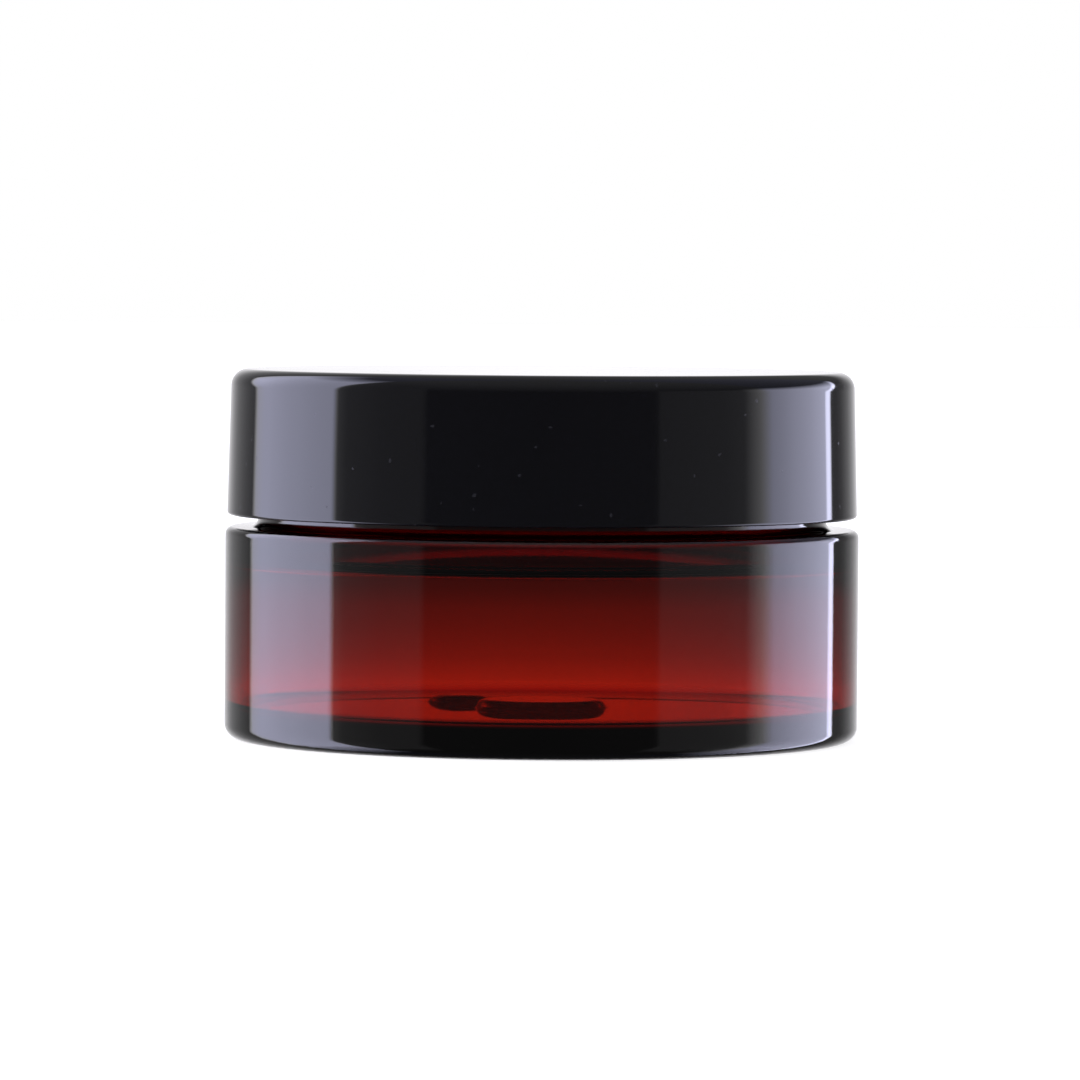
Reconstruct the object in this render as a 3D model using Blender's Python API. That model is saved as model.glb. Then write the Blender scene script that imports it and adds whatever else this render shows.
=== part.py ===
"""Low cream jar: an amber jar body with a screw neck, a smooth two-piece cap,
a foam liner, and a sealing disc with a fold-up pull tab.

Metres, +Z up. The origin is the centre of the footprint, on the surface that
the jar stands on, and +Z is the jar's axis. The cap turns about +Z and rises
along it, and the pull tab folds up about its straight root.
"""

import math

import bmesh
import bpy

MM = 0.001
FACETS = 72  # sides of every round piece
GAP = 0.3 * MM  # left between pieces that touch on the real jar

# Driving sizes of the jar body
BODY_RADIUS = 34.0 * MM
SHOULDER_Z = 22.7 * MM
WALL = 1.6 * MM
HEEL_ROUND = 1.6 * MM  # outer round between the wall and the foot
SHOULDER_ROUND = 0.8 * MM
FOOT_RING = 1.4 * MM  # width of the flat ring that the jar stands on
FOOT_RISE = 0.5 * MM  # how far the base panel clears the table
FLOOR_Z = 3.15 * MM  # the base is thicker than the wall
FLOOR_ROUND = 1.1 * MM
CEILING_Z = 19.1 * MM  # and so is the shoulder
CEILING_ROUND = 0.6 * MM
RIM_Z = 34.1 * MM
RIM_ROUND = 0.4 * MM

# A round pad inside the floor over the moulding gate, the shallow pocket under it
# that keeps the gate's stub off the table, and a domed button beside it over the
# place of the cavity mark
PAD_RADIUS = 7.0 * MM
PAD_HEIGHT = 1.05 * MM
POCKET_RADIUS = 4.0 * MM
POCKET_RISE = 0.8 * MM
GATE_RADIUS = 1.0 * MM
GATE_DROP = 0.4 * MM
MARK_RADIUS = 3.5 * MM
MARK_ROUND = 2.4 * MM  # how far in from its edge the button's dome reaches
MARK_X, MARK_Y = -8.8 * MM, 8.0 * MM

# The neck and its thread
NECK_RADIUS = 29.8 * MM
NECK_WALL = 1.5 * MM
BEAD_RADIUS = 30.5 * MM
BEAD_TOP_Z = 24.6 * MM
BEAD_FILLET = 0.9 * MM  # hollow between the bead and the shoulder
NECK_EDGE = 0.8 * MM  # round at the lower end of the mouth
THREAD_DEPTH = 1.1 * MM
THREAD_STARTS = 3
THREAD_LEAD = 12.0 * MM  # rise of the cap in one turn
THREAD_CREST = 0.9 * MM  # width of a ridge along its top
THREAD_SLOPE = 0.5  # axial run of a flank for each unit of depth
THREAD_Z = 27.1 * MM  # where a neck ridge starts
THREAD_SPAN = 150.0  # degrees that a neck ridge runs for
CAP_THREAD_SPAN = 100.0
CAP_THREAD_START = 10.0
RUN_OUT = 15.0  # degrees over which a ridge rises from the wall
THREAD_STEP = 5.0
THREAD_BURY = 0.35 * MM  # how far a ridge's root reaches into the wall

# The cap
CAP_HEIGHT = 15.6 * MM
CAP_GAP = 1.3 * MM  # seen between the cap and the shoulder
CAP_RADIUS_TOP = 33.45 * MM
CAP_RADIUS_FOOT = 33.8 * MM
CAP_TOP_ROUND = 1.8 * MM
CAP_FOOT_ROUND = 0.35 * MM
SHELL_TOP = 1.3 * MM
SHELL_BORE = 32.6 * MM
LIP_DEPTH = 0.5 * MM  # the lip inside the shell's foot that holds the inner cap
LIP_HEIGHT = 0.5 * MM
INNER_BORE = 31.3 * MM
INNER_TOP = 1.2 * MM
LUG_COUNT = 6  # lugs that stop the inner cap turning in its shell
LUG_WIDTH = 1.4 * MM
LUG_DEPTH = 0.9 * MM
LUG_HEIGHT = 0.8 * MM

# The liner and the sealing disc
LINER_RADIUS = 30.9 * MM
LINER_THICK = 1.0 * MM
LINER_BEAD = 0.7 * MM  # how far the bead under the liner stands in
DISC_RADIUS = 29.6 * MM
DISC_THICK = 0.8 * MM
DISC_PLUG_RADIUS = 27.9 * MM
DISC_PLUG_WALL = 1.0 * MM
DISC_DISH = 2.5 * MM
TAB_THICK = 0.8 * MM
TAB_RADIUS = 9.0 * MM
TAB_BAND = 3.2 * MM
TAB_ROOT_Y = -4.0 * MM
TAB_STEPS = 20
HINGE_BLOCK = 2.0 * MM

# Heights that follow from the sizes above, from the foot of the cap upwards
CAP_FOOT_Z = SHOULDER_Z + CAP_GAP
CAP_TOP_Z = CAP_FOOT_Z + CAP_HEIGHT
SHELL_CEILING_Z = CAP_TOP_Z - SHELL_TOP
INNER_TOP_Z = SHELL_CEILING_Z - GAP
INNER_CEILING_Z = INNER_TOP_Z - INNER_TOP
LINER_TOP_Z = INNER_CEILING_Z - GAP
LINER_FOOT_Z = LINER_TOP_Z - LINER_THICK
DISC_TOP_Z = RIM_Z + GAP + DISC_THICK
DISC_FLOOR_Z = DISC_TOP_Z - DISC_DISH
TAB_TOP_Z = DISC_FLOOR_Z + GAP + TAB_THICK
LIP_Z = CAP_FOOT_Z + 0.3 * MM
INNER_FOOT_Z = LIP_Z + LIP_HEIGHT + GAP
INNER_SKIRT_RADIUS = SHELL_BORE - GAP

AMBER = (0.29, 0.035, 0.008, 1.0)
BLACK = (0.006, 0.006, 0.008, 1.0)
WHITE = (0.85, 0.85, 0.83, 1.0)
MILKY = (0.72, 0.74, 0.75, 1.0)


def clear_scene():
    for old in list(bpy.data.objects):
        bpy.data.objects.remove(old, do_unlink=True)


def plastic(name, colour, roughness):
    material = bpy.data.materials.new(name)
    material.use_nodes = True
    shader = material.node_tree.nodes["Principled BSDF"]
    shader.inputs["Base Color"].default_value = colour
    shader.inputs["Roughness"].default_value = roughness
    shader.inputs["Metallic"].default_value = 0.0
    return material


def arc(centre, radius, start, end, steps):
    """Points on a circle in the (radius, height) plane, angles in degrees from +radius."""
    angles = [math.radians(start + (end - start) * i / steps) for i in range(steps + 1)]
    return [
        (centre[0] + radius * math.cos(a), centre[1] + radius * math.sin(a))
        for a in angles
    ]


def finish_mesh(bm, name, material=None):
    bmesh.ops.recalc_face_normals(bm, faces=bm.faces)
    mesh = bpy.data.meshes.new(name)
    bm.to_mesh(mesh)
    bm.free()
    if material:
        mesh.materials.append(material)
    mesh.shade_smooth()
    mesh.set_sharp_from_angle(angle=math.radians(35))
    piece = bpy.data.objects.new(name, mesh)
    bpy.context.scene.collection.objects.link(piece)
    return piece


def turned(name, profile, material=None, facets=FACETS):
    """Turns a (radius, height) outline about +Z. An outline that starts and ends
    on the axis makes a solid, and one that stays off the axis makes a ring."""
    bm = bmesh.new()
    points = [bm.verts.new((r, 0.0, z)) for r, z in profile]
    edges = [bm.edges.new(pair) for pair in zip(points, points[1:])]
    if profile[0][0] > 0.0:
        edges.append(bm.edges.new((points[-1], points[0])))
    bmesh.ops.spin(
        bm,
        geom=points + edges,
        cent=(0.0, 0.0, 0.0),
        axis=(0.0, 0.0, 1.0),
        angle=math.tau,
        steps=facets,
        use_merge=True,
    )
    bmesh.ops.remove_doubles(bm, verts=bm.verts, dist=0.001 * MM)
    return finish_mesh(bm, name, material)


def block(name, low, high):
    """A box between two opposite corners."""
    bm = bmesh.new()
    bmesh.ops.create_cube(bm, size=1.0)
    for v in bm.verts:
        v.co = [a + (b - a) * (c + 0.5) for a, b, c in zip(low, high, v.co)]
    return finish_mesh(bm, name)


def combine(piece, tool, operation):
    """Joins a tool to a piece, or cuts it away, and keeps the tool as a hidden helper."""
    modifier = piece.modifiers.new(tool.name, "BOOLEAN")
    modifier.operation = operation
    modifier.solver = "EXACT"
    modifier.object = tool
    tool.hide_render = True
    tool.display_type = "WIRE"


def thread_ridge(name, root, depth, sign, start_z, start_angle, span):
    """One ridge of a right-hand thread: a trapezium carried along a helix.
    sign is 1 for a ridge that stands out of a neck, -1 for one that stands into a cap."""
    steps = round(span / THREAD_STEP)
    bm = bmesh.new()
    rings = []
    for i in range(steps + 1):
        turn = span * i / steps
        from_end = min(turn, span - turn)
        rise = min(1.0, from_end / RUN_OUT)
        height = depth * rise - 0.5 * THREAD_BURY * (1.0 - rise)
        angle = math.radians(start_angle + turn)
        z = start_z + THREAD_LEAD * turn / 360.0
        half_crest = THREAD_CREST / 2.0
        half_root = half_crest + THREAD_SLOPE * (height + THREAD_BURY)
        corners = [
            (root - sign * THREAD_BURY, z - half_root),
            (root + sign * height, z - half_crest),
            (root + sign * height, z + half_crest),
            (root - sign * THREAD_BURY, z + half_root),
        ]
        rings.append(
            [bm.verts.new((r * math.cos(angle), r * math.sin(angle), h)) for r, h in corners]
        )
    for a, b in zip(rings, rings[1:]):
        for k in range(4):
            bm.faces.new((a[k], a[(k + 1) % 4], b[(k + 1) % 4], b[k]))
    bm.faces.new(rings[0])
    bm.faces.new(reversed(rings[-1]))
    return finish_mesh(bm, name)


def jar_outline():
    """Half section of the jar body, from the middle of its underside round to its floor."""
    foot_outer = BODY_RADIUS - HEEL_ROUND
    foot_inner = foot_outer - FOOT_RING
    wall_in = BODY_RADIUS - WALL
    neck_in = NECK_RADIUS - NECK_WALL
    pocket_z = FOOT_RISE + POCKET_RISE
    return [
        (0.0, pocket_z - GATE_DROP),
        (GATE_RADIUS - 0.1 * MM, pocket_z - GATE_DROP),
        (GATE_RADIUS + 0.1 * MM, pocket_z),
        *arc((POCKET_RADIUS - POCKET_RISE, FOOT_RISE), POCKET_RISE, 90, 0, 3),
        (foot_inner - FOOT_RISE, FOOT_RISE),
        (foot_inner, 0.0),
        *arc((foot_outer, HEEL_ROUND), HEEL_ROUND, -90, 0, 6),
        *arc(
            (BODY_RADIUS - SHOULDER_ROUND, SHOULDER_Z - SHOULDER_ROUND),
            SHOULDER_ROUND,
            0,
            90,
            4,
        ),
        *arc(
            (BEAD_RADIUS + BEAD_FILLET, SHOULDER_Z + BEAD_FILLET),
            BEAD_FILLET,
            270,
            180,
            2,
        ),
        (BEAD_RADIUS, BEAD_TOP_Z),
        (NECK_RADIUS, BEAD_TOP_Z + 0.5 * MM),
        *arc((NECK_RADIUS - RIM_ROUND, RIM_Z - RIM_ROUND), RIM_ROUND, 0, 90, 2),
        *arc((neck_in + RIM_ROUND, RIM_Z - RIM_ROUND), RIM_ROUND, 90, 180, 2),
        *arc((neck_in + NECK_EDGE, CEILING_Z + NECK_EDGE), NECK_EDGE, 180, 270, 3),
        *arc((wall_in - CEILING_ROUND, CEILING_Z - CEILING_ROUND), CEILING_ROUND, 90, 0, 2),
        *arc((wall_in - FLOOR_ROUND, FLOOR_Z + FLOOR_ROUND), FLOOR_ROUND, 0, -90, 3),
        *arc((PAD_RADIUS - PAD_HEIGHT, FLOOR_Z), PAD_HEIGHT, 0, 90, 3),
        (0.0, FLOOR_Z + PAD_HEIGHT),
    ]


def mark_button():
    """A low dome, with a root that reaches into the floor."""
    quarter = [math.radians(90.0 * i / 5) for i in range(6)]
    flat = MARK_RADIUS - MARK_ROUND
    dome = [
        (flat + MARK_ROUND * math.cos(a), FLOOR_Z + PAD_HEIGHT * math.sin(a)) for a in quarter
    ]
    root = FLOOR_Z - MM
    button = turned(
        "mark_button",
        [(0.0, root), (MARK_RADIUS, root), *dome, (0.0, FLOOR_Z + PAD_HEIGHT)],
        facets=40,
    )
    button.location = (MARK_X, MARK_Y, 0.0)
    return button


def jar_body(material):
    body = turned("jar_body", jar_outline(), material)
    combine(body, mark_button(), "UNION")
    for i in range(THREAD_STARTS):
        ridge = thread_ridge(
            f"neck_ridge_{i + 1}",
            NECK_RADIUS,
            THREAD_DEPTH,
            1,
            THREAD_Z,
            360.0 * i / THREAD_STARTS,
            THREAD_SPAN,
        )
        combine(body, ridge, "UNION")


def cap_shell(material):
    """The smooth outer cap, with a lip inside its foot and lugs under its top."""
    top_in = CAP_RADIUS_TOP - CAP_TOP_ROUND
    profile = [
        (0.0, CAP_TOP_Z),
        *arc((top_in, CAP_TOP_Z - CAP_TOP_ROUND), CAP_TOP_ROUND, 90, 0, 5),
        *arc(
            (CAP_RADIUS_FOOT - CAP_FOOT_ROUND, CAP_FOOT_Z + CAP_FOOT_ROUND),
            CAP_FOOT_ROUND,
            0,
            -90,
            2,
        ),
        (SHELL_BORE, CAP_FOOT_Z),
        (SHELL_BORE - LIP_DEPTH, LIP_Z),
        (SHELL_BORE - LIP_DEPTH, LIP_Z + 0.6 * LIP_HEIGHT),
        (SHELL_BORE, LIP_Z + LIP_HEIGHT),
        (SHELL_BORE, SHELL_CEILING_Z - 0.8 * MM),
        (SHELL_BORE - 0.4 * MM, SHELL_CEILING_Z),
        (0.0, SHELL_CEILING_Z),
    ]
    shell = turned("cap_shell", profile, material)
    for i in range(LUG_COUNT):
        lug = block(
            f"shell_lug_{i + 1}",
            (SHELL_BORE - LUG_DEPTH, -LUG_WIDTH / 2.0, SHELL_CEILING_Z - LUG_HEIGHT),
            (SHELL_BORE + 0.4 * MM, LUG_WIDTH / 2.0, SHELL_CEILING_Z + 0.5 * MM),
        )
        lug.rotation_euler.z = math.tau * (i + 0.5) / LUG_COUNT
        combine(shell, lug, "UNION")


def cap_inner(material):
    """The threaded inner cap, with a bead that holds the liner and notches for the lugs."""
    outer = INNER_SKIRT_RADIUS
    bead_z = LINER_FOOT_Z - GAP
    profile = [
        (0.0, INNER_TOP_Z),
        (outer - 0.6 * MM, INNER_TOP_Z),
        (outer, INNER_TOP_Z - 0.8 * MM),
        (outer, INNER_FOOT_Z),
        (INNER_BORE + 0.3 * MM, INNER_FOOT_Z),
        (INNER_BORE, INNER_FOOT_Z + 0.3 * MM),
        (INNER_BORE, bead_z - 0.9 * MM),
        (INNER_BORE - LINER_BEAD, bead_z - 0.3 * MM),
        (INNER_BORE - LINER_BEAD, bead_z - 0.15 * MM),
        (INNER_BORE, bead_z),
        (INNER_BORE, INNER_CEILING_Z),
        (0.0, INNER_CEILING_Z),
    ]
    inner = turned("cap_inner", profile, material)
    for i in range(LUG_COUNT):
        notch = block(
            f"inner_notch_{i + 1}",
            (
                SHELL_BORE - LUG_DEPTH - GAP,
                -LUG_WIDTH / 2.0 - GAP,
                SHELL_CEILING_Z - LUG_HEIGHT - GAP,
            ),
            (SHELL_BORE + MM, LUG_WIDTH / 2.0 + GAP, SHELL_CEILING_Z + MM),
        )
        notch.rotation_euler.z = math.tau * (i + 0.5) / LUG_COUNT
        combine(inner, notch, "DIFFERENCE")
    # A closed cap's ridges lie just under the neck's: the cap is pulled down by them.
    mesh_depth = NECK_RADIUS + THREAD_DEPTH - (INNER_BORE - THREAD_DEPTH)
    drop = THREAD_CREST + THREAD_SLOPE * mesh_depth + GAP
    for i in range(THREAD_STARTS):
        ridge = thread_ridge(
            f"cap_ridge_{i + 1}",
            INNER_BORE,
            THREAD_DEPTH,
            -1,
            THREAD_Z - drop + THREAD_LEAD * CAP_THREAD_START / 360.0,
            360.0 * i / THREAD_STARTS + CAP_THREAD_START,
            CAP_THREAD_SPAN,
        )
        combine(inner, ridge, "UNION")


def foam_liner(material):
    edge = 0.15 * MM
    turned(
        "foam_liner",
        [
            (0.0, LINER_FOOT_Z),
            (LINER_RADIUS - edge, LINER_FOOT_Z),
            (LINER_RADIUS, LINER_FOOT_Z + edge),
            (LINER_RADIUS, LINER_TOP_Z - edge),
            (LINER_RADIUS - edge, LINER_TOP_Z),
            (0.0, LINER_TOP_Z),
        ],
        material,
    )


def sealing_disc(material):
    """A dished disc: its flange rests on the rim, its plug fits the mouth, and a block
    in the dish carries the pull tab's hinge."""
    plug_in = DISC_PLUG_RADIUS - DISC_PLUG_WALL
    underside = DISC_FLOOR_Z - DISC_THICK
    profile = [
        (0.0, underside),
        (DISC_PLUG_RADIUS - 0.6 * MM, underside),
        (DISC_PLUG_RADIUS, underside + 0.6 * MM),
        (DISC_PLUG_RADIUS, DISC_TOP_Z - DISC_THICK),
        (DISC_RADIUS, DISC_TOP_Z - DISC_THICK),
        (DISC_RADIUS, DISC_TOP_Z - 0.25 * MM),
        (DISC_RADIUS - 0.25 * MM, DISC_TOP_Z),
        (plug_in, DISC_TOP_Z),
        (plug_in, DISC_FLOOR_Z + 0.4 * MM),
        (plug_in - 0.4 * MM, DISC_FLOOR_Z),
        (0.0, DISC_FLOOR_Z),
    ]
    disc = turned("sealing_disc", profile, material)
    anchor = block(
        "hinge_block",
        (-TAB_RADIUS, TAB_ROOT_Y - GAP - HINGE_BLOCK, DISC_FLOOR_Z - DISC_THICK / 2.0),
        (TAB_RADIUS, TAB_ROOT_Y - GAP, TAB_TOP_Z),
    )
    combine(disc, anchor, "UNION")


def half_moon(radius):
    """Points of a half circle on the tab, measured from the middle of its hinge line."""
    angles = [math.pi * i / TAB_STEPS for i in range(TAB_STEPS + 1)]
    return [(radius * math.cos(a), TAB_BAND + radius * math.sin(a)) for a in angles]


def pull_tab(material):
    """A half-moon band, thick enough to grip, that folds up about its straight root.
    Its origin is on the hinge line, along the upper edge of that root."""
    bm = bmesh.new()

    def place(points):
        return [bm.verts.new((x, y, -TAB_THICK)) for x, y in points]

    outside = place([(TAB_RADIUS, 0.0), *half_moon(TAB_RADIUS), (-TAB_RADIUS, 0.0)])
    inside = place(half_moon(TAB_RADIUS - TAB_BAND))
    faces = [
        bm.faces.new((outside[i + 1], outside[i + 2], inside[i + 1], inside[i]))
        for i in range(TAB_STEPS)
    ]
    # The strip between the hole and the straight root.
    faces.append(
        bm.faces.new((outside[-1], outside[0], outside[1], inside[0], inside[-1], outside[-2]))
    )
    grown = bmesh.ops.extrude_face_region(bm, geom=faces)
    for v in grown["geom"]:
        if isinstance(v, bmesh.types.BMVert):
            v.co.z += TAB_THICK
    tab = finish_mesh(bm, "pull_tab", material)
    tab.location = (0.0, TAB_ROOT_Y, TAB_TOP_Z)


clear_scene()
amber = plastic("amber_plastic", AMBER, 0.05)
black = plastic("black_plastic", BLACK, 0.12)
white = plastic("white_foam", WHITE, 0.7)
milky = plastic("milky_plastic", MILKY, 0.4)
jar_body(amber)
cap_shell(black)
cap_inner(black)
foam_liner(white)
sealing_disc(milky)
pull_tab(milky)
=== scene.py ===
import math

import bpy
import numpy as np
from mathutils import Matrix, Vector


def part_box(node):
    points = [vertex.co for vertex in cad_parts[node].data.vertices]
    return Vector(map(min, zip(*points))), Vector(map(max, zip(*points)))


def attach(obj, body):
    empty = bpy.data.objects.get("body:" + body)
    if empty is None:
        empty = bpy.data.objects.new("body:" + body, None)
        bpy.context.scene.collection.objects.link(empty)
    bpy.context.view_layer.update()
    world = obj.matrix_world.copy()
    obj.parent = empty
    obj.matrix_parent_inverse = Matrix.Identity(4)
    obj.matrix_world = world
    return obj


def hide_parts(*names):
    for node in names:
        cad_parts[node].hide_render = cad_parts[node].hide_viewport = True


# Cream jar: amber body with a screw neck, two-piece black cap, foam liner, sealing disc and pull tab.
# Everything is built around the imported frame; sizes are in millimetres unless a note says metres.
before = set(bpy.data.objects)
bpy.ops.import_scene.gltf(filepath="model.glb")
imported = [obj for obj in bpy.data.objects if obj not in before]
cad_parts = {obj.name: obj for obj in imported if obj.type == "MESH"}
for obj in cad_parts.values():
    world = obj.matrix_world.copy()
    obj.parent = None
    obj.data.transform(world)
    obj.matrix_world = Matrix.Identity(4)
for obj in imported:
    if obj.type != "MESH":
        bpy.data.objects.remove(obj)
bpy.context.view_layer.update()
mm = 0.001

jarLow, jarHigh = (np.array(corner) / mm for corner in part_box("jar_body"))
shellLow, shellHigh = (np.array(corner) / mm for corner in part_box("cap_shell"))
innerLow, innerHigh = (np.array(corner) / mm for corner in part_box("cap_inner"))
linerLow, linerHigh = (np.array(corner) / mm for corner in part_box("foam_liner"))
discLow, discHigh = (np.array(corner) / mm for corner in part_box("sealing_disc"))
tabLow, tabHigh = (np.array(corner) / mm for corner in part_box("pull_tab"))


# Points on a circle in the (radius, height) plane; angles in degrees from +radius, anticlockwise.
def arc(centreR, centreZ, radius, start, end, count=10):
    a = np.radians(np.linspace(start, end, count))
    return np.stack([centreR + radius * np.cos(a), centreZ + radius * np.sin(a)], axis=1)


# Straight run between two points, both ends included.
def run(r0, z0, r1, z1, count=2):
    t = np.linspace(0.0, 1.0, count)[:, None]
    return (1 - t) * np.array([r0, z0]) + t * np.array([r1, z1])


# Joins stretches into one outline and drops points that repeat.
def outline(*parts):
    points = np.concatenate(parts)
    step = np.linalg.norm(np.diff(points, axis=0), axis=1)
    return points[np.concatenate([[True], step > 1e-4])]


# 0 below the first edge, 1 above the second, and 3t^2 - 2t^3 between them.
def smooth(low, high, x):
    t = np.clip((x - low) / (high - low), 0.0, 1.0)
    return t * t * (3 - 2 * t)


# An object from points in millimetres and the corners of its faces. The sum of det(a, b, c) over the
# triangles is six times the volume; where that is negative, the faces are turned round.
def meshFromArrays(name, co, quads, tris):
    corners = co[quads[:, [0, 1, 2]]] if len(quads) else np.zeros((0, 3, 3))
    other = co[quads[:, [0, 2, 3]]] if len(quads) else np.zeros((0, 3, 3))
    every = np.concatenate([corners, other, co[tris]]) if len(tris) else np.concatenate([corners, other])
    if np.linalg.det(every).sum() < 0:
        quads, tris = quads[:, ::-1], tris[:, ::-1]
    mesh = bpy.data.meshes.new(name)
    mesh.vertices.add(len(co))
    mesh.vertices.foreach_set("co", (co * mm).astype(np.float32).ravel())
    loops = np.concatenate([quads.ravel(), tris.ravel()]).astype(np.int32)
    mesh.loops.add(len(loops))
    mesh.loops.foreach_set("vertex_index", loops)
    sizes = np.concatenate([np.full(len(quads), 4), np.full(len(tris), 3)])
    mesh.polygons.add(len(sizes))
    mesh.polygons.foreach_set("loop_start", (np.cumsum(sizes) - sizes).astype(np.int32))
    mesh.update(calc_edges=True)
    mesh.validate()
    mesh.shade_smooth()
    piece = bpy.data.objects.new(name, mesh)
    bpy.context.scene.collection.objects.link(piece)
    return piece


# Turns an outline of (radius, height) points about +Z: x = r cos a, y = r sin a, at each angle a.
# shape(r, a, z) may move the points of the grid. An outline that starts and ends on the axis
# gets a single point at each pole; any other is closed into a ring.
def turned(name, points, angles=288, shape=None):
    a = np.linspace(0.0, math.tau, angles, endpoint=False) if np.isscalar(angles) else angles
    poles = points[0, 0] == 0.0
    rows = points[1:-1] if poles else points
    r, z = (np.repeat(rows[:, k:k + 1], len(a), axis=1) for k in (0, 1))
    turn = np.repeat(a[None, :], len(rows), axis=0)
    if shape:
        r, z = shape(r, turn, z)
    co = np.stack([r * np.cos(turn), r * np.sin(turn), z], axis=2).reshape(-1, 3)
    index = np.arange(len(co)).reshape(len(rows), len(a))
    below, above = (index[:-1], index[1:]) if poles else (index, np.roll(index, -1, axis=0))
    nextBelow, nextAbove = np.roll(below, -1, axis=1), np.roll(above, -1, axis=1)
    quads = np.stack([below, nextBelow, nextAbove, above], axis=2).reshape(-1, 4)
    tris = np.zeros((0, 3), int)
    if poles:
        ends = np.array([[0, 0, points[0, 1]], [0, 0, points[-1, 1]]])
        first, last = len(co), len(co) + 1
        co = np.concatenate([co, ends])
        low, high = index[0], index[-1]
        lowFan = np.stack([np.full(len(a), first), np.roll(low, -1), low], axis=1)
        highFan = np.stack([np.full(len(a), last), high, np.roll(high, -1)], axis=1)
        tris = np.concatenate([lowFan, highFan])
    return meshFromArrays(name, co, quads, tris)


# Height of a screw ridge above its wall: a rounded trapezium across, on a right-hand helix that
# climbs lead for each turn, fading in and out at its ends.
def ridgeHeight(a, z, thread):
    height = np.zeros_like(z)
    for k in range(thread["starts"]):
        along = np.mod(a - math.tau * k / thread["starts"] - math.radians(thread["from"]), math.tau)
        centre = thread["z"] + thread["lead"] * along / math.tau
        root = thread["crest"] / 2 + thread["slope"] * thread["depth"]
        across = 1 - smooth(thread["crest"] / 2 - 0.1, root + 0.1, np.abs(z - centre))
        out = math.radians(thread["runOut"])
        span = math.radians(thread["span"])
        ends = smooth(0.0, out, along) * (1 - smooth(span - out, span, along))
        height = np.maximum(height, thread["depth"] * across * ends)
    return height


class Value:
    # A number socket. Arithmetic on it adds Math nodes to its tree.
    def __init__(self, finish, socket):
        self.finish, self.socket = finish, socket

    def math(self, operation, *others):
        values = {i: v for i, v in enumerate((self, *others))}
        return self.finish.node("ShaderNodeMath", {"operation": operation}, values).value(0)

    def __add__(self, other):
        return self.math("ADD", other)

    def __mul__(self, other):
        return self.math("MULTIPLY", other)

    def __sub__(self, other):
        return self.math("SUBTRACT", other)

    def __rsub__(self, other):
        return self * -1.0 + other

    def __truediv__(self, other):
        return self.math("DIVIDE", other)

    def __pow__(self, other):
        return self.math("POWER", other)

    __radd__ = __add__
    __rmul__ = __mul__


class Placed:
    def __init__(self, finish, made):
        self.finish, self.made = finish, made

    def value(self, output):
        return Value(self.finish, self.made.outputs[output])

    def out(self, output):
        return self.made.outputs[output]


class Finish:
    # A node tree being written: of a material, or of the world.
    def __init__(self, owner):
        self.owner = owner
        owner.use_nodes = True
        self.tree = owner.node_tree
        self.tree.nodes.clear()

    def node(self, kind, settings=None, values=None):
        made = self.tree.nodes.new(kind)
        for key, setting in (settings or {}).items():
            if key == "stops":
                ramp = made.color_ramp.elements
                while len(ramp) < len(setting):
                    ramp.new(0.5)
                for element, (place, colour) in zip(ramp, setting):
                    element.position = place
                    element.color = colour
            else:
                setattr(made, key, setting)
        for key, value in (values or {}).items():
            if isinstance(value, Value):
                value = value.socket
            if isinstance(value, bpy.types.NodeSocket):
                self.tree.links.new(value, made.inputs[key])
            else:
                made.inputs[key].default_value = value
        return Placed(self, made)

    def noise(self, where, scale, detail=2.0, roughness=0.5):
        values = {"Vector": where, "Scale": scale, "Detail": detail, "Roughness": roughness}
        return self.node("ShaderNodeTexNoise", None, values).value("Fac")

    # t in 0..1 from low..high of a value, held at the ends.
    def between(self, value, low, high):
        values = {"Value": value, "From Min": low, "From Max": high}
        return self.node("ShaderNodeMapRange", {"clamp": True}, values).value("Result")

    def mixColour(self, factor, first, second):
        values = {0: factor, 6: first, 7: second}
        return self.node("ShaderNodeMix", {"data_type": "RGBA"}, values).out(2)


def material(name):
    return Finish(bpy.data.materials.new(name))


def principled(finish, values):
    shader = finish.node("ShaderNodeBsdfPrincipled", None, values)
    finish.node("ShaderNodeOutputMaterial", None, {"Surface": shader.out(0)})
    return finish.owner


# A height map as a Normal link.
def bumped(finish, height, look):
    values = {"Strength": look["bump"], "Distance": look["bumpDistance"], "Height": height}
    return finish.node("ShaderNodeBump", None, values).out(0)


amberLook = {
    "density": 2010.0,  # absorption per metre in the blue
    "colour": (0.806, 0.239, 0.0, 1.0),  # share of that density which each colour is spared
    "ior": 1.57,
    "roughness": 0.02,
    "smearScale": 90.0,
    "smearRoughness": 0.012,
    "smearTint": (0.97, 0.97, 0.97, 1.0),
    "speckScale": 2600.0,
    "speckRoughness": 0.1,
    "flowScale": 55.0,
    "bump": 0.02,
    "bumpDistance": 0.0002,
    # Painted shade: a near-black base colour for the bead, which darkens the light through it like the
    # shadow in the gap under the cap.
    "beadPaintedShade": (0.02, 0.015, 0.03, 1.0),
    "beadRadius": (0.0300, 0.0302),  # metres, as are the next two: where the bead's painted shade comes in
    "beadFoot": (0.02272, 0.0228),
    "beadTop": (0.0250, 0.0252),
}
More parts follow.
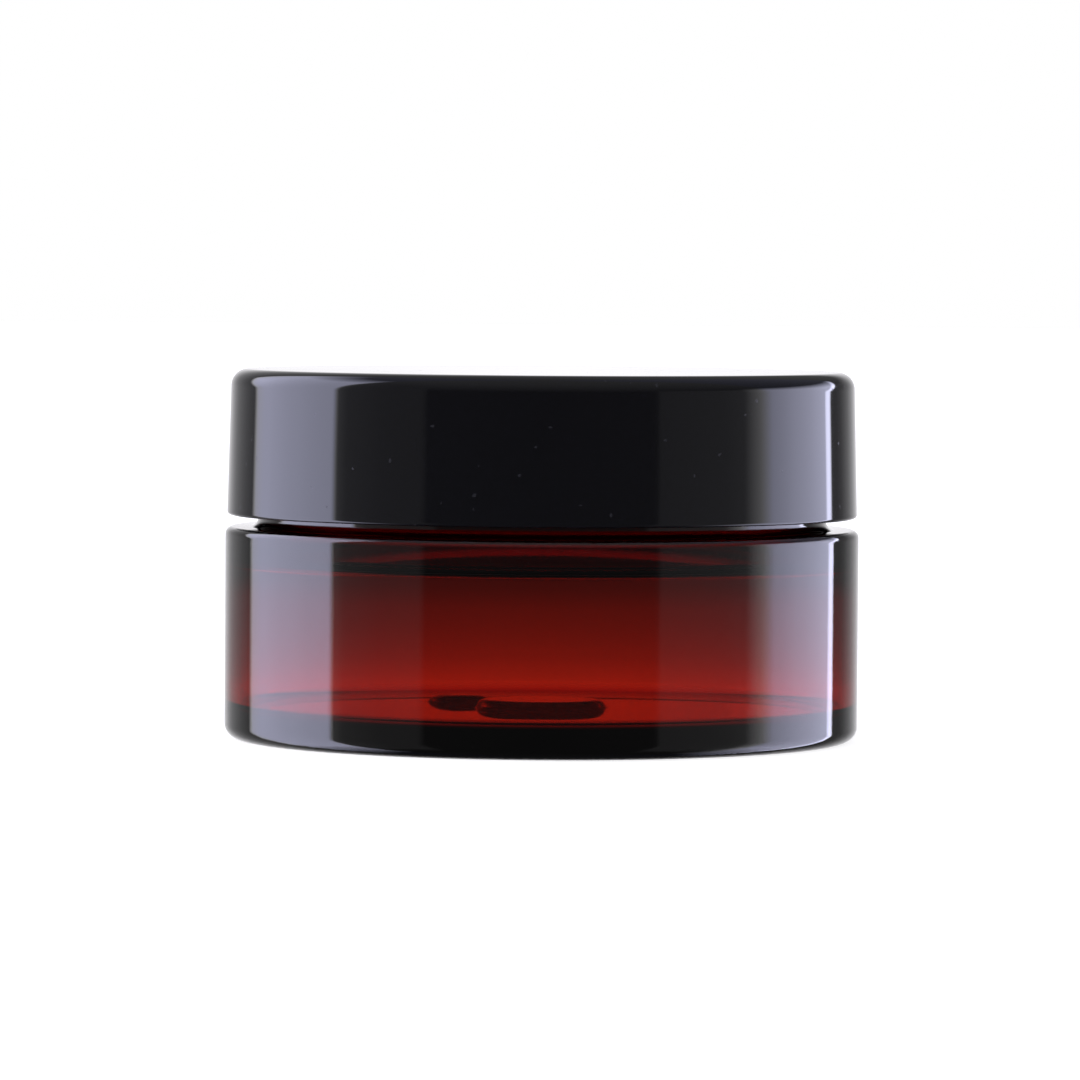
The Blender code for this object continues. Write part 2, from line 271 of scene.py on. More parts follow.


# Clear amber plastic: colour comes from the thickness of the wall, and the skin is nearly polished.
# The bead above the shoulder gets a near-black base colour: painted shade for the dark gap under the cap,
# which lets hardly any light through it. Its mask is 1 where sqrt(x^2 + y^2) is past beadRadius and z lies
# between beadFoot and beadTop.
def amberFinish():
    look = amberLook
    f = material("amber_plastic")
    where = f.node("ShaderNodeTexCoord").out("Object")
    smears = f.noise(where, look["smearScale"], 3.0)
    specks = f.between(f.noise(where, look["speckScale"], 1.0), 0.74, 0.8)
    flow = f.noise(where, look["flowScale"], 2.0)
    tint = f.mixColour(smears, (1.0, 1.0, 1.0, 1.0), look["smearTint"])
    parts = f.node("ShaderNodeSeparateXYZ", None, {0: where})
    x, y, z = (parts.value(k) for k in range(3))
    radius = (x * x + y * y) ** 0.5
    bead = f.between(radius, *look["beadRadius"]) * f.between(z, *look["beadFoot"])
    bead = bead * (1.0 - f.between(z, *look["beadTop"]))
    shader = f.node("ShaderNodeBsdfPrincipled", None, {
        # Painted shade: the near-black colour is mixed in over the bead's mask.
        "Base Color": f.mixColour(bead, tint, look["beadPaintedShade"]),
        "Roughness": look["roughness"] + smears * look["smearRoughness"] + specks * look["speckRoughness"],
        "IOR": look["ior"],
        "Transmission Weight": 1.0,
        "Normal": bumped(f, flow, look),
    })
    volume = f.node("ShaderNodeVolumeAbsorption", None, {
        "Color": look["colour"],
        "Density": look["density"],
    })
    f.node("ShaderNodeOutputMaterial", None, {"Surface": shader.out(0), "Volume": volume.out(0)})
    return f.owner


glossBlackLook = {
    "colour": (0.0032, 0.0032, 0.0045, 1.0),
    "dustColour": (0.02, 0.02, 0.026, 1.0),
    "smearScale": 70.0,
    "dustScale": 1500.0,
    "peelScale": 160.0,
    "roughness": 0.035,
    "smearRoughness": 0.03,
    "dustRoughness": 0.2,
    "ior": 1.5,
    "bump": 0.015,
    "bumpDistance": 0.0001,
}


# Opaque black plastic, polished: faint smears and dust specks break the gloss.
def glossBlackFinish():
    look = glossBlackLook
    f = material("black_gloss")
    where = f.node("ShaderNodeTexCoord").out("Object")
    smears = f.noise(where, look["smearScale"], 4.0, 0.6)
    dust = f.between(f.noise(where, look["dustScale"], 0.0), 0.83, 0.86)
    peel = f.noise(where, look["peelScale"], 1.0)
    return principled(f, {
        "Base Color": f.mixColour(dust, look["colour"], look["dustColour"]),
        "Roughness": look["roughness"] + smears * look["smearRoughness"] + dust * look["dustRoughness"],
        "IOR": look["ior"],
        "Normal": bumped(f, peel, look),
    })


innerBlackLook = {
    "colour": (0.007, 0.007, 0.008, 1.0),
    "flowColour": (0.013, 0.013, 0.014, 1.0),
    "grainScale": 900.0,
    "flowScale": 60.0,
    "roughness": 0.24,
    "grainRoughness": 0.12,
    "ior": 1.49,
    "bump": 0.08,
    "bumpDistance": 0.0001,
}


# The threaded inner cap: the same black, as it leaves the mould, with fine flow marks.
def innerBlackFinish():
    look = innerBlackLook
    f = material("black_inner")
    where = f.node("ShaderNodeTexCoord").out("Object")
    grain = f.noise(where, look["grainScale"], 3.0)
    flow = f.noise(where, look["flowScale"], 2.0)
    return principled(f, {
        "Base Color": f.mixColour(flow, look["colour"], look["flowColour"]),
        "Roughness": look["roughness"] + grain * look["grainRoughness"],
        "IOR": look["ior"],
        "Normal": bumped(f, grain, look),
    })


foamLook = {
    "colour": (0.78, 0.78, 0.765, 1.0),
    "cellColour": (0.87, 0.87, 0.855, 1.0),
    "cellScale": 2400.0,
    "cloudScale": 240.0,
    "roughness": 0.62,
    "cloudRoughness": 0.2,
    "glow": 0.12,
    "glowReach": (0.0012, 0.0012, 0.001),
    "bump": 0.35,
    "bumpDistance": 0.0001,
}


# Closed-cell foam: a fine cell pattern under a smooth skin.
def foamFinish():
    look = foamLook
    f = material("white_foam")
    where = f.node("ShaderNodeTexCoord").out("Object")
    values = {"Vector": where, "Scale": look["cellScale"]}
    cells = f.node("ShaderNodeTexVoronoi", {"feature": "DISTANCE_TO_EDGE"}, values).value("Distance")
    walls = f.between(cells, 0.0, 0.12)
    cloud = f.noise(where, look["cloudScale"], 3.0)
    return principled(f, {
        "Base Color": f.mixColour(walls * 0.7 + cloud * 0.3, look["colour"], look["cellColour"]),
        "Roughness": look["roughness"] + cloud * look["cloudRoughness"],
        "Subsurface Weight": look["glow"],
        "Subsurface Radius": look["glowReach"],
        "Subsurface Scale": 1.0,
        "Normal": bumped(f, walls * 0.6 + cloud * 0.4, look),
    })


milkyLook = {
    "colour": (0.74, 0.755, 0.76, 1.0),
    "flowColour": (0.82, 0.83, 0.83, 1.0),
    "flowScale": 130.0,
    "satinScale": 1600.0,
    "roughness": 0.34,
    "satinRoughness": 0.14,
    "glow": 0.3,
    "glowReach": (0.0015, 0.0015, 0.0015),
    "bump": 0.12,
    "bumpDistance": 0.0001,
}


# Milky polypropylene: satin, with faint flow lines left by the mould.
def milkyFinish():
    look = milkyLook
    f = material("milky_plastic")
    where = f.node("ShaderNodeTexCoord").out("Object")
    flow = f.noise(where, look["flowScale"], 3.0)
    satin = f.noise(where, look["satinScale"], 2.0)
    return principled(f, {
        "Base Color": f.mixColour(flow, look["colour"], look["flowColour"]),
        "Roughness": look["roughness"] + satin * look["satinRoughness"],
        "Subsurface Weight": look["glow"],
        "Subsurface Radius": look["glowReach"],
        "Subsurface Scale": 1.0,
        "Normal": bumped(f, satin * 0.5 + flow * 0.5, look),
    })


amber = amberFinish()
glossBlack = glossBlackFinish()
innerBlack = innerBlackFinish()
foam = foamFinish()
milky = milkyFinish()
print("finishes made")


jar = {
    "wall": 1.6,
    "heelRound": 1.6,
    "floor": 3.15,  # height of the inner floor
    "floorRound": 1.1,
    "ceiling": 19.1,  # underside of the thick shoulder
    "ceilingRound": 0.6,
    "shoulderRound": 0.8,
    "capGap": 1.3,  # between the shoulder and the cap's foot
    "footRing": 1.4,
    "footRise": 0.5,
    "ringFillet": 0.3,
    "ringRound": 0.25,
    "rimRound": 0.4,
    "neckRadius": 29.8,
    "neckWall": 1.5,
    "neckFillet": 0.8,
    "beadRadius": 30.5,
    "beadHeight": 1.9,
    "beadFillet": 0.9,
    "beadRound": 0.2,
    "bossReach": 16.0,  # the pads in the floor lie within this radius
    "padHeight": 1.05,
    "padRadius": 7.0,
    "padRound": 1.05,
    "markRadius": 3.5,
    "markRound": 2.4,
    "markX": -8.8,
    "markY": 8.0,
    "pocketRadius": 4.0,
    "pocketRise": 0.8,
    "gateRadius": 1.0,
    "gateDrop": 0.4,
}
neckThread = {
    "starts": 3, "lead": 12.0, "from": 0.0, "span": 150.0, "z": 27.1,
    "depth": 1.1, "crest": 0.9, "slope": 0.5, "runOut": 15.0,
}


# Height of a round boss: full inside, then height * sqrt(1 - t^2) as t goes 0 to 1 over its soft edge.
def bossHeight(distance, radius, height, soft):
    t = np.clip((distance - (radius - soft)) / soft, 0.0, 1.0)
    return height * np.sqrt(np.clip(1 - t * t, 0.0, 1.0))


# One closed outline (underside, outside, inside) turned about the axis. The neck's wall is moved out
# by the ridge height, and the floor and the underside are raised by the height of their bosses.
# The last number of each arc and run is how many points it has.
def jarBody():
    s = jar
    radius, rim = jarHigh[0], jarHigh[2]
    shoulder = shellLow[2] - s["capGap"]
    foot = radius - s["heelRound"]
    ringIn = foot - s["footRing"]
    floor = s["floor"]
    wallIn = radius - s["wall"]
    neckIn = s["neckRadius"] - s["neckWall"]
    ceiling = s["ceiling"]
    beadTop = shoulder + s["beadHeight"]
    fillet = s["beadFillet"]
    low, high = s["floorRound"], s["ceilingRound"]
    edge = s["rimRound"]
    bossReach, rise = s["bossReach"], s["footRise"]
    pocketReach = s["pocketRadius"] + 0.4
    fillIn, beadEdge, neckFill = s["ringFillet"], s["beadRound"], s["neckFillet"]
    ringEdge = s["ringRound"]
    underside = outline(
        run(0.0, rise, pocketReach, rise, 40),
        run(pocketReach, rise, bossReach, rise, 4),
        run(bossReach, rise, ringIn - rise - fillIn, rise, 6),
        arc(ringIn - rise - fillIn, rise - fillIn, fillIn, 90, 45, 4),
        arc(ringIn + 0.05, ringEdge, ringEdge, 225, 270, 4),
        run(ringIn + 0.1, 0.0, foot - 0.1, 0.0, 2),
    )
    outside = outline(
        arc(foot, s["heelRound"], s["heelRound"], -90, 0, 22),
        run(radius, s["heelRound"], radius, shoulder - s["shoulderRound"], 6),
        arc(radius - s["shoulderRound"], shoulder - s["shoulderRound"], s["shoulderRound"], 0, 90, 14),
        arc(s["beadRadius"] + fillet, shoulder + fillet, fillet, 270, 180, 10),
        arc(s["beadRadius"] - beadEdge, beadTop - beadEdge, beadEdge, 0, 60, 6),
        run(s["neckRadius"], beadTop + 0.3, s["neckRadius"], rim - edge, 80),
        arc(s["neckRadius"] - edge, rim - edge, edge, 0, 90, 8),
    )
    inside = outline(
        arc(neckIn + edge, rim - edge, edge, 90, 180, 8),
        run(neckIn, rim - edge, neckIn, ceiling + neckFill, 4),
        arc(neckIn + neckFill, ceiling + neckFill, neckFill, 180, 270, 10),
        arc(wallIn - high, ceiling - high, high, 90, 0, 18),
        run(wallIn, ceiling - high, wallIn, floor + low, 6),
        arc(wallIn - low, floor + low, low, 0, -90, 18),
        run(wallIn - low, floor, bossReach, floor, 6),
        run(bossReach, floor, 0.0, floor, 84),
    )
    points = outline(underside, outside, inside)

    def shape(r, a, z):
        neck = (r > s["neckRadius"] - 0.05) & (z > beadTop + 0.25) & (z < rim - edge + 0.01)
        r = r + np.where(neck, ridgeHeight(a, z, neckThread), 0.0)
        x, y = r * np.cos(a), r * np.sin(a)
        toMark = np.hypot(x - s["markX"], y - s["markY"])
        top = np.maximum(
            bossHeight(r, s["padRadius"], s["padHeight"], s["padRound"]),
            bossHeight(toMark, s["markRadius"], s["padHeight"], s["markRound"]),
        )
        under = bossHeight(r, s["pocketRadius"], s["pocketRise"], s["pocketRise"])
        under = under - s["gateDrop"] * (1 - smooth(s["gateRadius"] - 0.2, s["gateRadius"], r))
        isFloor = (np.abs(z - floor) < 1e-6) & (r < bossReach + 0.1)
        isUnder = (np.abs(z - rise) < 1e-6) & (r < bossReach + 0.1)
        return r, z + np.where(isFloor, top, 0.0) + np.where(isUnder, under, 0.0)

    points[0, 1] += s["pocketRise"] - s["gateDrop"]
    points[-1, 1] += s["padHeight"]
    return turned("jarBody", points, 288, shape)


cap = {
    "topRadius": 33.45,
    "topRound": 1.8,
    "footRound": 0.35,
    "top": 1.3,
    "bore": 32.6,
    "lipDepth": 0.5,
    "lipRise": 0.3,
    "lipHeight": 0.5,
    "lugs": 6,
    "lugWidth": 1.4,
    "lugDepth": 0.9,
    "lugHeight": 0.8,
    "gap": 0.3,
    "innerBore": 31.3,
    "innerTop": 1.2,
    "beadDepth": 0.7,
}
capThread = {
    "starts": 3, "lead": 12.0, "from": 10.0, "span": 100.0, "z": 25.883,
    "depth": 1.1, "crest": 0.9, "slope": 0.5, "runOut": 15.0,
}


# 1 over each lug's width and 0 elsewhere, in angle at the bore.
def overLugs(a, width):
    pitch = math.tau / cap["lugs"]
    fromMiddle = np.abs(np.mod(a, pitch) - pitch / 2) * cap["bore"]
    return 1 - smooth(width / 2 - 0.05, width / 2 + 0.1, fromMiddle)


# Angles of the columns: evenly spaced ones, and 25 more across each lug.
def lugAngles(even):
    pitch = math.tau / cap["lugs"]
    across = np.linspace(-1.4, 1.4, 25) / cap["bore"]
    fine = (np.arange(cap["lugs"])[:, None] + 0.5) * pitch + across[None, :]
    angles = np.concatenate([np.linspace(0.0, math.tau, even, endpoint=False), fine.ravel()])
    return np.unique(np.round(angles, 5))


# One closed outline turned about the axis: down the outside, under the foot, up the bore, along the
# ceiling. The lips and lugs stand on the bore.
def capShell():
    s = cap
    footR, foot, top = shellHigh[0], shellLow[2], shellHigh[2]
    ceiling = top - s["top"]
    topIn = s["topRadius"] - s["topRound"]
    lipIn = s["bore"] - s["lipDepth"]
    lip = foot + s["lipRise"]
    points = outline(
        np.array([[0.0, top]]),
        run(0.4, top, topIn, top, 12),
        arc(topIn, top - s["topRound"], s["topRound"], 90, 0, 20),
        arc(footR - s["footRound"], foot + s["footRound"], s["footRound"], 0, -90, 8),
        run(footR - s["footRound"], foot, s["bore"] + 0.05, foot, 2),
        arc(lipIn + 0.12, lip, 0.12, 240, 180, 4),
        arc(lipIn + 0.12, lip + 0.6 * s["lipHeight"], 0.12, 180, 110, 4),
        run(s["bore"], lip + s["lipHeight"], s["bore"], ceiling - s["lugHeight"] - 0.1, 5),
        run(s["bore"], ceiling - s["lugHeight"], s["bore"], ceiling - 0.4, 4),
        arc(s["bore"] - 0.4, ceiling - 0.4, 0.4, 0, 90, 6),
        run(s["bore"] - 0.4, ceiling, s["bore"] - 1.2, ceiling, 6),
        run(s["bore"] - 1.2, ceiling, 0.4, ceiling, 8),
        np.array([[0.0, ceiling]]),
    )

    # A lug fills the corner between the bore and the ceiling: what lies in it is pulled to its face.
    def shape(r, a, z):
        face, lugFoot = s["bore"] - s["lugDepth"], ceiling - s["lugHeight"]
        onBore = (r < s["bore"] + 0.01) & (r > s["bore"] - 0.3)
        nearTop = (z < ceiling + 0.01) & (z > lugFoot - 0.01)
        pull = overLugs(a, s["lugWidth"]) * (r - face)
        return np.where(onBore & nearTop, r - pull, r), z

    return turned("capShell", points, lugAngles(288), shape)


# One closed outline turned about the axis. The bore is moved in by the ridge height of its thread, and
# the upper edge is lowered by the mask of the lugs, which leaves the notches that they fill.
def capInner():
    s = cap
    outer, foot, top = innerHigh[0], innerLow[2], innerHigh[2]
    ceiling = top - s["innerTop"]
    bore = s["innerBore"]
    bead = linerLow[2] - s["gap"]
    beadIn = bore - s["beadDepth"]
    points = outline(
        np.array([[0.0, top]]),
        run(0.4, top, outer - 1.4, top, 8),
        run(outer - 1.3, top, outer - 0.6, top, 6),
        run(outer - 0.6, top, outer, top - 0.8, 5),
        run(outer, top - 0.9, outer, foot + 0.1, 5),
        arc(outer - 0.1, foot + 0.1, 0.1, 0, -90, 4),
        arc(bore + 0.3, foot + 0.3, 0.3, 270, 180, 6),
        run(bore, foot + 0.3, bore, bead - 1.0, 84),
        run(bore, bead - 0.9, beadIn + 0.1, bead - 0.35, 4),
        arc(beadIn + 0.1, bead - 0.22, 0.1, 225, 120, 4),
        arc(bore - 0.1, bead + 0.1, 0.1, 270, 360, 4),
        run(bore, bead + 0.3, bore, ceiling - 0.2, 4),
        arc(bore - 0.2, ceiling - 0.2, 0.2, 0, 90, 4),
        run(bore - 0.2, ceiling, 0.4, ceiling, 10),
        np.array([[0.0, ceiling]]),
    )

    def shape(r, a, z):
        wall = (np.abs(r - bore) < 1e-6) & (z < bead - 0.95)
        r = r - np.where(wall, ridgeHeight(a, z, capThread), 0.0)
        notch = overLugs(a, s["lugWidth"] + 2 * s["gap"])
        nearTop = (z > top - 0.85) & (r > outer - 1.25)
        lowered = np.minimum(z, top - 0.8)
        z = np.where(nearTop, z + notch * (lowered - z), z)
        return r, z

    return turned("capInner", points, lugAngles(288), shape)


disc = {
    "thick": 0.8,
    "plugRadius": 27.9,
    "plugWall": 1.0,
    "dish": 2.5,
    "underRound": 0.6,
    "blockDepth": 2.0,
    "blockEdge": 0.25,
    "hingeGap": 0.3,
    "sharp": 38.0,  # degrees; edges past this stay crisp
}
tab = {"band": 3.2, "edge": 0.18, "cornerRound": 0.8}


wad = {"edge": 0.12}


# A flat round wad with a rounded edge: its outline turned about the axis.
def foamLiner():
    radius, low, high = linerHigh[0], linerLow[2], linerHigh[2]
    edge = wad["edge"]
    points = outline(
        np.array([[0.0, low]]),
        run(0.5, low, radius - edge, low, 16),
        arc(radius - edge, low + edge, edge, -90, 0, 5),
        arc(radius - edge, high - edge, edge, 0, 90, 5),
        run(radius - edge, high, 0.5, high, 16),
        np.array([[0.0, high]]),
    )
    return turned("foamLiner", points, 240)


# A dished disc with a plug under it: its outline turned about the axis, joined to the block that
# carries the tab's hinge.
def sealingDisc():
    s = disc
    radius, low, top = discHigh[0], discLow[2], discHigh[2]
    floor = top - s["dish"]
    plug, plugIn = s["plugRadius"], s["plugRadius"] - s["plugWall"]
    flangeFoot = top - s["thick"]
    r = s["underRound"]
    points = outline(
        np.array([[0.0, low]]),
        run(0.5, low, plug - r, low, 14),
        arc(plug - r, low + r, r, -90, 0, 8),
        arc(plug + 0.15, flangeFoot - 0.15, 0.15, 180, 90, 4),
        run(plug + 0.3, flangeFoot, radius - 0.2, flangeFoot, 3),
        arc(radius - 0.2, flangeFoot + 0.2, 0.2, -90, 0, 5),
        arc(radius - 0.25, top - 0.25, 0.25, 0, 90, 5),
        arc(plugIn + 0.2, top - 0.2, 0.2, 90, 180, 5),
        arc(plugIn - 0.4, floor + 0.4, 0.4, 0, -90, 7),
        run(plugIn - 0.4, floor, 0.5, floor, 20),
        np.array([[0.0, floor]]),
    )
    piece = turned("sealingDisc", points, 240)
    root = tabLow[1] - s["hingeGap"]
    block = roundedBlock("hingeBlock", (tabLow[0], root - s["blockDepth"], floor - s["thick"] / 2),
                         (tabHigh[0], root, tabHigh[2]), s["blockEdge"])
    union = piece.modifiers.new("block", "BOOLEAN")
    union.operation = "UNION"
    union.solver = "EXACT"
    union.object = block
    applyModifiers(piece)
    bpy.data.objects.remove(block)
    piece.data.set_sharp_from_angle(angle=math.radians(s["sharp"]))
    return piece


# The piece keeps the mesh that its modifiers give.
def applyModifiers(piece):
    graph = bpy.context.evaluated_depsgraph_get()
    done = bpy.data.meshes.new_from_object(piece.evaluated_get(graph))
    piece.modifiers.clear()
    piece.data = done
    done.shade_smooth()


# A box whose outline is a rounded rectangle at every height, with its upper edge rounded over:
# rings of the outline, each pulled in by its own inset.
def roundedBlock(name, low, high, edge):
    low, high = np.array(low), np.array(high)
    middle, half = (low + high) / 2, (high - low) / 2
    quarter = np.radians(np.linspace(0, 90, 6))
    around = []
    for k, (sx, sy) in enumerate(((1, 1), (-1, 1), (-1, -1), (1, -1))):
        a = quarter + k * math.pi / 2
        around.append(np.stack([sx * (half[0] - edge) + edge * np.cos(a),
                                sy * (half[1] - edge) + edge * np.sin(a)], axis=1))
    ring = np.concatenate(around)
    insets = [(0.0, low[2]), (0.0, high[2] - edge)]
    insets += [(edge * (1 - math.cos(t)), high[2] - edge * (1 - math.sin(t)))
               for t in np.radians([22.5, 45, 67.5, 90])]
    rows = [np.column_stack([middle[0] + ring[:, 0] * (half[0] - i) / half[0],
                             middle[1] + ring[:, 1] * (half[1] - i) / half[1],
                             np.full(len(ring), z)]) for i, z in insets]
    co = np.concatenate(rows + [[[middle[0], middle[1], low[2]], [middle[0], middle[1], high[2]]]])
    n = len(ring)
    index = np.arange(n * len(rows)).reshape(len(rows), n)
    below, above = index[:-1], index[1:]
    quads = np.stack([below, np.roll(below, -1, 1), np.roll(above, -1, 1), above], axis=2).reshape(-1, 4)
    first, last = n * len(rows), n * len(rows) + 1
    lowFan = np.stack([np.full(n, first), np.roll(index[0], -1), index[0]], axis=1)
    highFan = np.stack([np.full(n, last), index[-1], np.roll(index[-1], -1)], axis=1)
    return meshFromArrays(name, co, quads, np.concatenate([lowFan, highFan]))


# The tab is a closed band: at each step round it, a rounded rectangle spans from its outer
# outline to the edge of its finger hole.
def pullTab():
    s = tab
    reach, root = tabHigh[0], tabLow[1]
    low, high = tabLow[2], tabHigh[2]
    hole = reach - s["band"]
    bend = root + s["band"]
    a = np.radians(np.linspace(0, 180, 97))
    outer = np.stack([reach * np.cos(a), bend + reach * np.sin(a)], axis=1)
    inner = np.stack([hole * np.cos(a), bend + hole * np.sin(a)], axis=1)
    c = s["cornerRound"]
    corner = np.radians(np.linspace(0, 90, 9))
    left = np.stack([-reach + c - c * np.cos(corner), root + c - c * np.sin(corner)], axis=1)
    right = (left * [-1, 1])[::-1]
    straight = np.linspace(-reach + c, reach - c, 40)[1:-1]
    rootRun = np.concatenate([left, np.column_stack([straight, np.full(38, root)]), right])
    share = np.linspace(0, 1, len(rootRun) + 2)[1:-1]
    holeRun = np.column_stack([-hole + 2 * hole * share, np.full(len(share), bend)])
    outer = np.concatenate([outer, rootRun])
    inner = np.concatenate([inner, holeRun])
    across = outer - inner
    width = np.linalg.norm(across, axis=1)
    e = s["edge"]
    quarter = np.radians(np.linspace(0, 90, 5))
    section = []  # (distance in from an outline, from which side, height) round the rectangle
    corners = ((True, high - e), (False, high - e), (False, low + e), (True, low + e))
    for k, (fromOuter, z0) in enumerate(corners):
        t = quarter + k * math.pi / 2
        inset = e * (1 - np.abs(np.cos(t)))
        section += [(fromOuter, i, z0 + e * math.sin(u)) for i, u in zip(inset, t)]
    rows = []
    for fromOuter, inset, z in section:
        share = (inset / width)[:, None]
        xy = outer - across * share if fromOuter else inner + across * share
        rows.append(np.column_stack([xy, np.full(len(xy), z)]))
    co = np.concatenate(rows)
    index = np.arange(len(co)).reshape(len(rows), len(outer))
    above = np.roll(index, -1, axis=0)
    quads = np.stack([index, np.roll(index, -1, 1), np.roll(above, -1, 1), above], axis=2).reshape(-1, 4)
    return meshFromArrays("pullTab", co, quads, np.zeros((0, 3), int))


# Gives a piece its finish and the body that it rides on, and hides the node that it stands for. The slot
# is not used.
def place(piece, finish, body, node, slot):
    piece.data.materials.clear()
    piece.data.materials.append(finish)
    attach(piece, body)
    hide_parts(node)
    print(piece.name, len(piece.data.polygons), "faces")
    return piece


place(jarBody(), amber, "jar", "jar_body", "amber_plastic")
place(capShell(), glossBlack, "cap", "cap_shell", "black_gloss")
place(capInner(), innerBlack, "cap", "cap_inner", "black_inner")
liner = place(foamLiner(), foam, "liner", "foam_liner", "white_foam")
place(sealingDisc(), milky, "disc", "sealing_disc", "milky_plastic")
place(pullTab(), milky, "tab", "pull_tab", "milky_plastic")


studio = {
    "distance": 0.75,  # metres, as are the height and the aim
    "height": 0.0527,
    "aim": 0.02136,
    "lens": 232.9,
    "sensor": 36.0,
    "roll": 0.41,
    "shift": -0.00185,
    "floorReach": 4.0,
}


# A flat disc at a height in metres: its rim is (r cos a, r sin a, z) at 96 angles.
def stageDisc(name, radius, z):
    a = np.linspace(0, math.tau, 96, endpoint=False)
    ring = np.column_stack([radius * np.cos(a), radius * np.sin(a), np.full(96, z)])
    mesh = bpy.data.meshes.new(name)
    mesh.from_pydata(ring.tolist(), [], [list(range(96))])
    piece = bpy.data.objects.new(name, mesh)
    bpy.context.scene.collection.objects.link(piece)
    return piece


paleFloorLook = {
    "colour": (0.80, 0.80, 0.80, 1.0),
    "cloudColour": (0.82, 0.82, 0.82, 1.0),
    "cloudScale": 12.0,
    "roughness": 0.9,
    "glow": 0.86,
}


# The pale floor: white, lit from within a little so that its shadows stay soft.
def paleFloor():
    look = paleFloorLook
    f = material("pale_floor")
    where = f.node("ShaderNodeTexCoord").out("Object")
    cloud = f.noise(where, look["cloudScale"], 2.0)
    floor = stageDisc("floor", studio["floorReach"], 0.0)
    floor.data.materials.append(principled(f, {
        "Base Color": f.mixColour(cloud, look["colour"], look["cloudColour"]),
        "Roughness": look["roughness"],
        "Specular IOR Level": 0.0,
        "Emission Color": (1.0, 1.0, 1.0, 1.0),
        "Emission Strength": look["glow"],
    }))
    floor.visible_glossy = False
    floor.visible_transmission = False


underGlowLook = {
    "foot": (0.031, 0.036),  # metres from the axis: dark under the jar, full past it
    "dark": 0.03,
    "reach": 0.104,  # metres from the axis where the strength is 1
    "fall": -1.2,
    "most": 1.15,
    "height": -0.0005,
}


# What shows through the amber wall: a glow on the table that fades away from the jar, as
# min((length / reach)^fall, most), and is nearly dark under the jar itself.
def underGlow():
    look = underGlowLook
    f = material("under_glow")
    where = f.node("ShaderNodeTexCoord").out("Object")
    length = f.node("ShaderNodeVectorMath", {"operation": "LENGTH"}, {0: where}).value("Value")
    clear = f.between(length, *look["foot"])
    strength = ((length / look["reach"]) ** look["fall"]).math("MINIMUM", look["most"])
    strength = strength * (clear * (1 - look["dark"]) + look["dark"])
    glow = f.node("ShaderNodeEmission", None, {"Color": (1.0, 1.0, 1.0, 1.0), "Strength": strength})
    f.node("ShaderNodeOutputMaterial", None, {"Surface": glow.out(0)})
    card = stageDisc("under_glow", studio["floorReach"], look["height"])
    card.data.materials.append(f.owner)
    card.visible_camera = False
    card.visible_glossy = False
    card.visible_diffuse = False
    card.visible_shadow = False


studioLook = {
    "stops": [  # degrees from the front, left negative, and how bright it is there
        (-180, 1.15), (-166, 0.85), (-152, 0.45), (-140, 0.3), (-131.3, 0.22), (-130.3, 1.95), (-127, 2.3),
        (-120, 2.85), (-113, 3.15), (-100, 3.6), (-82.8, 3.8), (-80.3, 0.5), (-76, 0.28), (-60, 0.2),
        (-44, 0.19), (-43, 0.07), (0, 0.06), (42, 0.07), (43, 0.2), (70, 0.24), (79, 0.3), (86, 1.2),
        (93, 2.7), (105, 3.2), (118, 3.15), (127.2, 3.0), (128.2, 6.4), (130.6, 6.4), (131.8, 0.2),
        (137, 0.15), (142, 0.2), (151, 0.4), (162, 0.75), (172, 1.0), (180, 1.15),
    ],
    "most": 7.0,  # the curve's values are shares of this
    "lean": 45.0,  # degrees that the lamps lean to the back per unit of height
    "leanTop": 0.35,
    "leanFrom": (95, 130),
    "leftSide": (0.1, -0.1),
    "leftRise": 0.44,  # how much higher the lamps on the left stand
    "top": (0.2, 0.4),
    "foot": (-0.9, -0.6),
    "sky": 0.06,
    "skyRise": 0.26,
    "skyFrom": (0.1, 0.9),
    "tint": (1.0, 0.99, 1.02, 1.0),
    "lampTint": (0.96, 0.97, 1.28, 1.0),
    "lampFrom": (1.4, 2.6),
    "windowFrom": (0.047, 0.055),
    "windowGain": 1.35,
}


# Brightness as a curve of the azimuth: straight runs between the stops.
def brightness(f, azimuth, look):
    curve = f.node("ShaderNodeFloatCurve", None, {"Value": (azimuth + 180.0) / 360.0})
    mapping = curve.made.mapping
    mapping.use_clip = False
    points = mapping.curves[0].points
    while len(points) < len(look["stops"]):
        points.new(0.5, 0.5)
    for point, (degrees, level) in zip(points, look["stops"]):
        point.location = ((degrees + 180.0) / 360.0, level / look["most"])
        point.handle_type = "VECTOR"
    mapping.update()
    return curve.value(0) * look["most"]


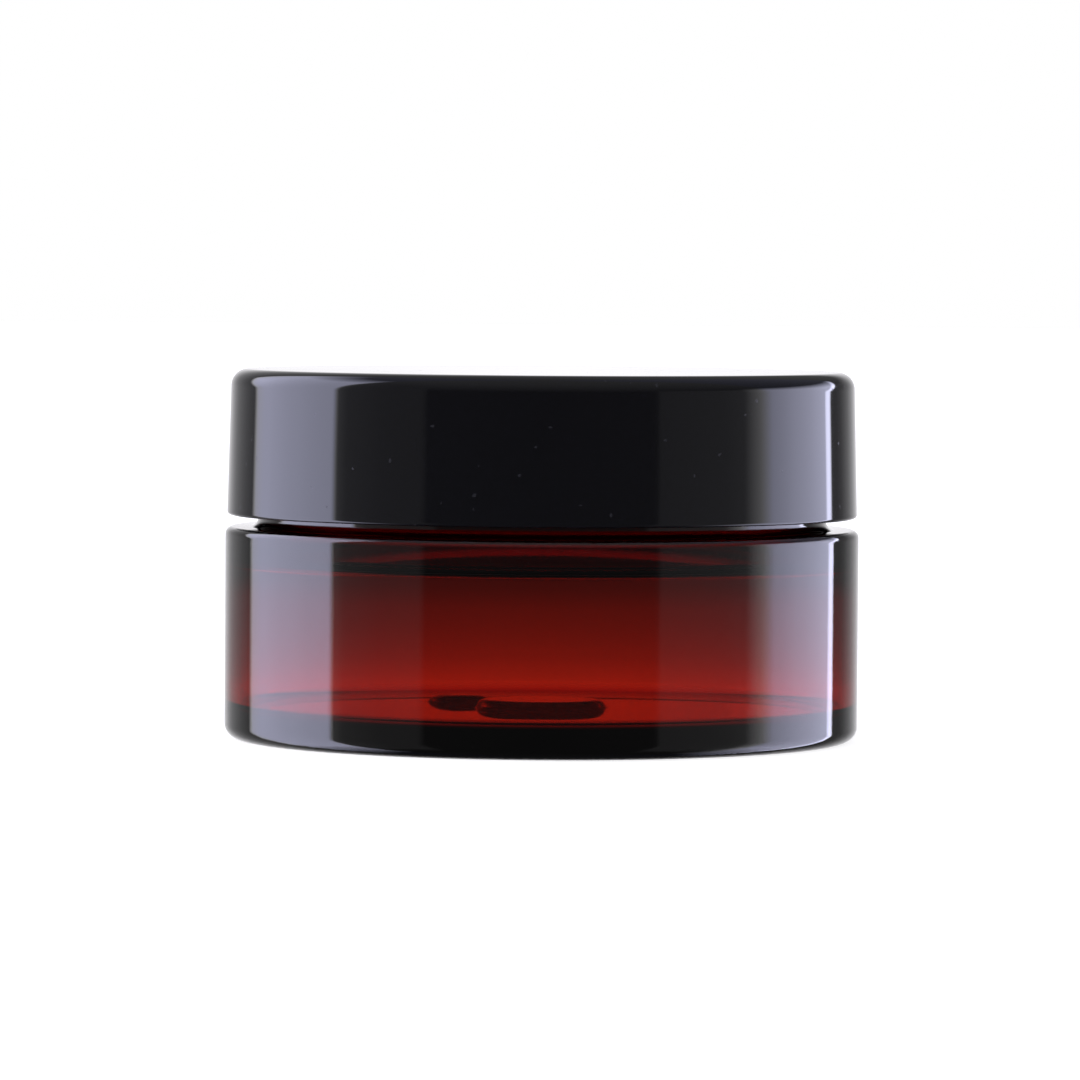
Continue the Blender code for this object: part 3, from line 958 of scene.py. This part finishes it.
# The studio round the jar, as a function of direction: azimuth in degrees from the front, positive
# to the right, and the sine z of the elevation. Rays that pass through the plastic see it only above
# windowFrom, windowGain times as bright. White to the camera itself.
def studioWorld():
    look = studioLook
    world = bpy.data.worlds.new("studio")
    bpy.context.scene.world = world
    f = Finish(world)
    way = f.node("ShaderNodeTexCoord").out("Generated")
    parts = f.node("ShaderNodeSeparateXYZ", None, {0: way})
    x, y, z = (parts.value(k) for k in range(3))
    azimuth = x.math("ARCTAN2", y * -1.0) * (180 / math.pi)
    height = z.math("MAXIMUM", 0.0).math("MINIMUM", look["leanTop"])
    lean = height * f.between(azimuth.math("ABSOLUTE"), *look["leanFrom"])
    azimuth = azimuth - lean * azimuth.math("SIGN") * look["lean"]
    level = brightness(f, azimuth, look)
    leftwards = f.between(x, *look["leftSide"])
    reach = (1 - f.between(z - leftwards * look["leftRise"], *look["top"])) * f.between(z, *look["foot"])
    sky = look["sky"] + f.between(z, *look["skyFrom"]) * look["skyRise"]
    lit = (level * reach).math("MAXIMUM", sky)
    tint = f.mixColour(f.between(level, *look["lampFrom"]), look["tint"], look["lampTint"])
    through = f.node("ShaderNodeLightPath").value("Is Transmission Ray")
    window = f.between(z, *look["windowFrom"])
    lit = lit * (1.0 - through * (1.0 - window * look["windowGain"]))
    around = f.node("ShaderNodeBackground", None, {"Color": tint, "Strength": lit})
    white = f.node("ShaderNodeBackground", None, {"Color": (1.0, 1.0, 1.0, 1.0), "Strength": 1.0})
    seen = f.node("ShaderNodeLightPath").out("Is Camera Ray")
    both = f.node("ShaderNodeMixShader", None, {0: seen, 1: around.out(0), 2: white.out(0)})
    f.node("ShaderNodeOutputWorld", None, {"Surface": both.out(0)})


# The camera stands in front, tipped down by atan((height - aim) / distance) and rolled a little.
def studioCamera():
    s = studio
    data = bpy.data.cameras.new("camera")
    data.lens = s["lens"]
    data.sensor_width = s["sensor"]
    data.shift_x = s["shift"]
    data.clip_start = 0.01
    eye = bpy.data.objects.new("camera", data)
    bpy.context.scene.collection.objects.link(eye)
    down = math.atan2(s["height"] - s["aim"], s["distance"])
    eye.location = (0.0, -s["distance"], s["height"])
    eye.rotation_mode = "XYZ"
    eye.rotation_euler = (math.pi / 2 - down, 0.0, 0.0)
    eye.rotation_euler.rotate_axis("Z", math.radians(s["roll"]))
    bpy.context.scene.camera = eye


paleFloor()
underGlow()
studioWorld()
studioCamera()
bpy.context.scene.view_settings.view_transform = "Standard"
print("stage set")
